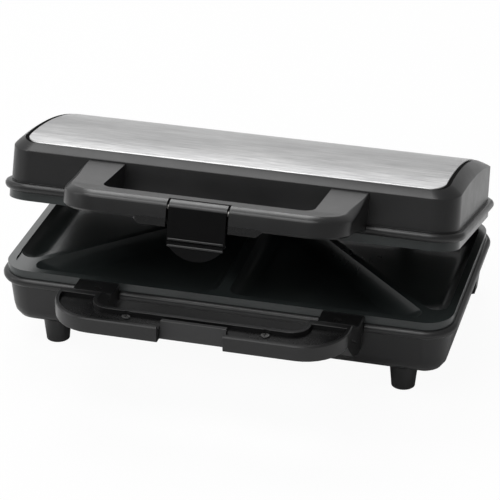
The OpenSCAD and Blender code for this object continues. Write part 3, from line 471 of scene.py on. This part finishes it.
def paint(piece, finish, chosen):
    """Gives a second finish to the faces that pass a test on centre and normal."""
    piece.data.materials.append(finish)
    for face in piece.data.polygons:
        if chosen(face.center, face.normal):
            face.material_index = len(piece.data.materials) - 1


def finished(node, body, width, sharp=32, segments=2, shape=None):
    """Puts a piece with its own shaping, rounded edges and smooth curves in a node's place."""
    piece = skin_of(node, node + "_moulded", join_flats=True)
    if shape:
        shape(piece)
    round_edges(piece, width, sharp, segments)
    smooth_curves(piece)
    coat(piece, FINISHES[node])
    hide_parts(node)
    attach(piece, body)
    return piece


# The pieces' own shaping: places are in the lid's own frame, the ramp's normal is in the scene's

SHOULDER = ((0.34, 0.16), (0.74, 0.46), (0.95, 0.79))    # shares of the rise: found, wanted
SHARE_WITHIN = 0.02
LOOKS_UP = 0.15
ARM_ROOT_Y = -0.0737
ARM_FOOT_Z = 0.0652
ARM_HEAD_Z = 0.0894
ARM_TO_WALL = 0.00048
LATCH_TOP_Z = 0.0791
LATCH_FRONT_Y = -0.1408
LATCH_HALF_W = 0.0184
LATCH_SIDE_BAND = 0.0008
SLOT_WIDER = 0.0004
NOTCH_HALF_W = 0.0206
RAMP_NORMAL_Y = -0.8
RAMP_NORMAL_Z = 0.1
STEEL_END_X = 0.12
GROOVE_WIDER = 0.0007
STEEL_ROLL = 0.0009
STEEL_EDGE_TURN = math.radians(50)
RECESS_LEAST = 0.0005
RECESS_MOST = 0.0012
RECESS_LEVEL = 0.6
# thickness of the painted-shade sheet in the recess under the steel cover
SHADE_SHEET_T = 0.00003
RIB_HEIGHTS = (0.0599, 0.056)
RIB_R = 0.0008
RIB_SIDES = 24
RIB_SUNK = 0.0002
RIB_END_GAP = 0.0005
RIB_END_ROLL = 0.0006
RIB_END_TURN = math.radians(60)


def chamfer_shoulder(piece):
    """Brings the lid's shoulder to the broad, slightly crowned chamfer round the steel cover."""
    for corner in piece.data.vertices:
        place = shut(corner.co)
        low, high = wall_top(place.y), roof(place.y)
        share = (place.z - low) / (high - low)
        if (SHUT @ corner.normal).z < LOOKS_UP or past_roof_edge(place.x, place.y) < HAIR:
            continue
        for found, wanted in SHOULDER:
            if abs(share - found) < SHARE_WITHIN:
                corner.co = opened((place.x, place.y, low + wanted * (high - low)))


def seat_arms(piece):
    """Leans the arms' ends back with the lid wall's draft, up to a hairline short of it."""
    for corner in piece.data.vertices:
        place = shut(corner.co)
        if place.y > ARM_ROOT_Y - HAIR:
            share = (place.z - ARM_FOOT_Z) / (ARM_HEAD_Z - ARM_FOOT_Z)
            corner.co = opened((place.x, place.y + ARM_TO_WALL * share, place.z))


def open_slots(piece):
    """Leaves a little more room at the latch's sides, so that the slots read as dark lines."""
    for corner in piece.data.vertices:
        if abs(corner.co.x) > LATCH_HALF_W - LATCH_SIDE_BAND:
            corner.co.x -= math.copysign(SLOT_WIDER, corner.co.x)


def roll_steel_edge(piece):
    """Draws in the steel cover's two ends and rolls its upper edge, as a press leaves it."""
    for corner in piece.data.vertices:
        if abs(corner.co.x) > STEEL_END_X:
            corner.co.x -= math.copysign(GROOVE_WIDER, corner.co.x)

    def on_top(point):
        place = shut(point)
        return place.z > roof(place.y) - HAIR

    roll_edges(piece, lambda edge: all(on_top(end.co) for end in edge.verts)
               and edge.calc_face_angle(0) > STEEL_EDGE_TURN, STEEL_ROLL)


def lay_shade_sheet():
    """A thin black sheet in the recess under the steel cover: painted shade that draws the dark gap line
    round it.
    """
    piece = skin_of("lid_housing", "steel_cover_shade_sheet", join_flats=False)
    bpy.ops.object.mode_set(mode="EDIT")
    bpy.ops.mesh.select_mode(type="FACE")
    mesh = bmesh.from_edit_mesh(piece.data)
    for face in mesh.faces:
        place = shut(face.calc_center_median())
        inside = past_roof_edge(place.x, place.y) < 0
        sunk = RECESS_LEAST < roof(place.y) - place.z < RECESS_MOST
        level = (SHUT @ face.normal).z > RECESS_LEVEL
        face.select = not (inside and sunk and level)
    bmesh.update_edit_mesh(piece.data)
    bpy.ops.mesh.delete(type="FACE")
    bpy.ops.object.mode_set(mode="OBJECT")
    shade_layer = piece.modifiers.new("shade_layer", "SOLIDIFY")
    shade_layer.thickness = SHADE_SHEET_T
    shade_layer.offset = 1
    bpy.ops.object.modifier_apply(modifier=shade_layer.name)
    coat(piece, SHADE_SHEET)
    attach(piece, "lid")


def latch_rib(height):
    """One half-round rib across the latch's front, sunk in it to a little over half its thickness."""
    bpy.ops.object.select_all(action="DESELECT")
    bpy.ops.mesh.primitive_cylinder_add(
        vertices=RIB_SIDES, radius=RIB_R, depth=2 * (LATCH_HALF_W - SLOT_WIDER - RIB_END_GAP),
        location=opened((0, LATCH_FRONT_Y + RIB_SUNK, height)), rotation=(0, math.radians(90), 0))
    rib = bpy.context.object
    bpy.ops.object.transform_apply(location=True, rotation=True, scale=True)
    roll_edges(rib, lambda edge: edge.calc_face_angle(0) > RIB_END_TURN, RIB_END_ROLL)
    bpy.ops.object.shade_smooth_by_angle(angle=SMOOTH_WITHIN)
    return rib


def latch_ribs():
    """Two ribs across the latch, for the finger that pulls it."""
    ribs = [latch_rib(height) for height in RIB_HEIGHTS]
    only(ribs[0])
    for rib in ribs:
        rib.select_set(True)
    bpy.ops.object.join()
    piece = bpy.context.object
    piece.name = "latch_ribs"
    bpy.ops.object.transform_apply(location=True, rotation=True, scale=True)
    coat(piece, GRIP)
    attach(piece, "latch_body")


def on_latch_top(place, normal):
    """Tells the latch's top, which has the handle's finish, from its face, which has a darker, duller
    copy of it: painted shade.
    """
    return shut(place).z > LATCH_TOP_Z


def on_notch_ramp(place, normal):
    """Tells the ramp in the lower handle's notch, which leads the latch in."""
    return abs(place.x) < NOTCH_HALF_W and normal.y < RAMP_NORMAL_Y and normal.z > RAMP_NORMAL_Z


finished("base_housing", "base", width=0.0009, segments=3)
finished("service_cover", "base", width=0.0004)
finished("cord_gland", "base", width=0.0005)
finished("foot_pads", "base", width=0.0004)
finished("lid_housing", "lid", width=0.0005, segments=3, shape=chamfer_shoulder)
handle = finished("lower_handle", "base", width=0.0006, sharp=60, segments=1)
finished("lower_handle_insert", "base", width=0.0003)
finished("upper_handle", "lid", width=0.0007, shape=seat_arms)
finished("upper_handle_liner", "lid", width=0.0005)
latch = finished("latch", "latch_body", width=0.0003, shape=open_slots)
finished("steel_cover", "lid", width=0.0001, shape=roll_steel_edge)
finished("lower_plate", "base", width=0.0007)
finished("upper_plate", "lid", width=0.0007)
lay_shade_sheet()
latch_ribs()
# the latch's face keeps the painted-shade copy, and its top gets the handle's own finish
paint(latch, GRIP, on_latch_top)
# the ramp's lighter colour is painted sheen; its roughness and bumps are its texture
paint(handle, RAMP, on_notch_ramp)


# Studio: a white floor, a dome and soft boxes

FLOOR_WIDTH = 12
FLOOR_DARK = (0.84,) * 3
FLOOR_LIGHT = (0.88,) * 3
FLOOR_ROUGH = 0.7
FLOOR_WHITE_SHARE = 0.95        # how much of what the camera sees of the floor is plain white
PALE_SIDE = (-0.9, 0.4, 0.2)
PALE_FROM = 0.2
PALE_TO = 0.6
DOME_DARK = 0.42
DOME_PALE = 0.9
SOFT_LIGHT = 0.2
SEEN_WHITE = 1.0
SOFT_BOXES = (                  # name, place, width and height, power
    ("overhead_box", (-0.4, 0.74, 1.58), (0.9, 0.6), 12.5),
    ("top_front_box", (-0.35, -0.56, 1.62), (1.5, 0.7), 14),
    ("front_box", (-0.38, -1.25, 1.2), (0.9, 0.5), 3.5),
    ("back_box", (-0.35, 1.5, 0.95), (1.2, 0.5), 2.4),
    ("left_box", (-1.6, -0.5, 0.8), (0.5, 1.0), 2),
)


def lay_floor():
    """A wide pale floor that shows as white and keeps a light shadow."""
    bpy.ops.object.select_all(action="DESELECT")
    bpy.ops.mesh.primitive_plane_add(size=FLOOR_WIDTH, location=(0, 0, cad_box[0][2]))
    floor = bpy.context.object
    floor.name = "floor"
    f = Finish("pale_floor")
    cloud = f.noise(2.0, detail=2.0, rough=0.5)
    tone = f.colours(cloud, (0.3, FLOOR_DARK), (0.7, FLOOR_LIGHT))
    surface = f.node("ShaderNodeBsdfPrincipled", {}, {"Base Color": tone, "Roughness": FLOOR_ROUGH})
    white = f.node("ShaderNodeEmission", {}, {"Strength": 1.0})
    camera_ray = f.wire("ShaderNodeLightPath", {}, {})
    both = f.node("ShaderNodeMixShader", {}, {0: camera_ray * FLOOR_WHITE_SHARE,
                                              1: surface.outputs[0], 2: white.outputs[0]})
    f.node("ShaderNodeOutputMaterial", {}, {"Surface": both.outputs[0]})
    floor.data.materials.append(f.material)


def soft_box(name, place, size, power):
    """A soft box aimed at the part."""
    lamp = bpy.data.lights.new(name, "AREA")
    lamp.shape = "RECTANGLE"
    lamp.size = size[0]
    lamp.size_y = size[1]
    lamp.energy = power
    box = bpy.data.objects.new(name, lamp)
    box.location = place
    box.rotation_euler = (AIM - Vector(place)).to_track_quat("-Z", "Y").to_euler()
    scene.collection.objects.link(box)


def light_world():
    """White where the camera looks, dim for soft light, and for gloss a dome that is pale at the left."""
    world = bpy.data.worlds.new("studio")
    world.use_nodes = True
    scene.world = world
    w = ShaderTree(world.node_tree)
    ray = w.node("ShaderNodeLightPath", {}, {})
    place = w.node("ShaderNodeTexCoord", {}, {})
    side = w.node("ShaderNodeVectorMath", {"operation": "DOT_PRODUCT"},
                  {0: place.outputs["Generated"], 1: PALE_SIDE})
    dome = w.wire("ShaderNodeMapRange", {"interpolation_type": "SMOOTHSTEP"},
                  {"Value": side.outputs["Value"], "From Min": PALE_FROM, "From Max": PALE_TO,
                   "To Min": DOME_DARK, "To Max": DOME_PALE})
    unseen = w.wire("ShaderNodeMix", {}, {0: ray.outputs["Is Glossy Ray"], 2: SOFT_LIGHT, 3: dome})
    level = w.wire("ShaderNodeMix", {}, {0: ray.outputs["Is Camera Ray"], 2: unseen, 3: SEEN_WHITE})
    sky = w.node("ShaderNodeBackground", {}, {"Color": (1, 1, 1, 1), "Strength": level})
    w.node("ShaderNodeOutputWorld", {}, {"Surface": sky.outputs[0]})


lay_floor()
light_world()
for soft_box_values in SOFT_BOXES:
    soft_box(*soft_box_values)
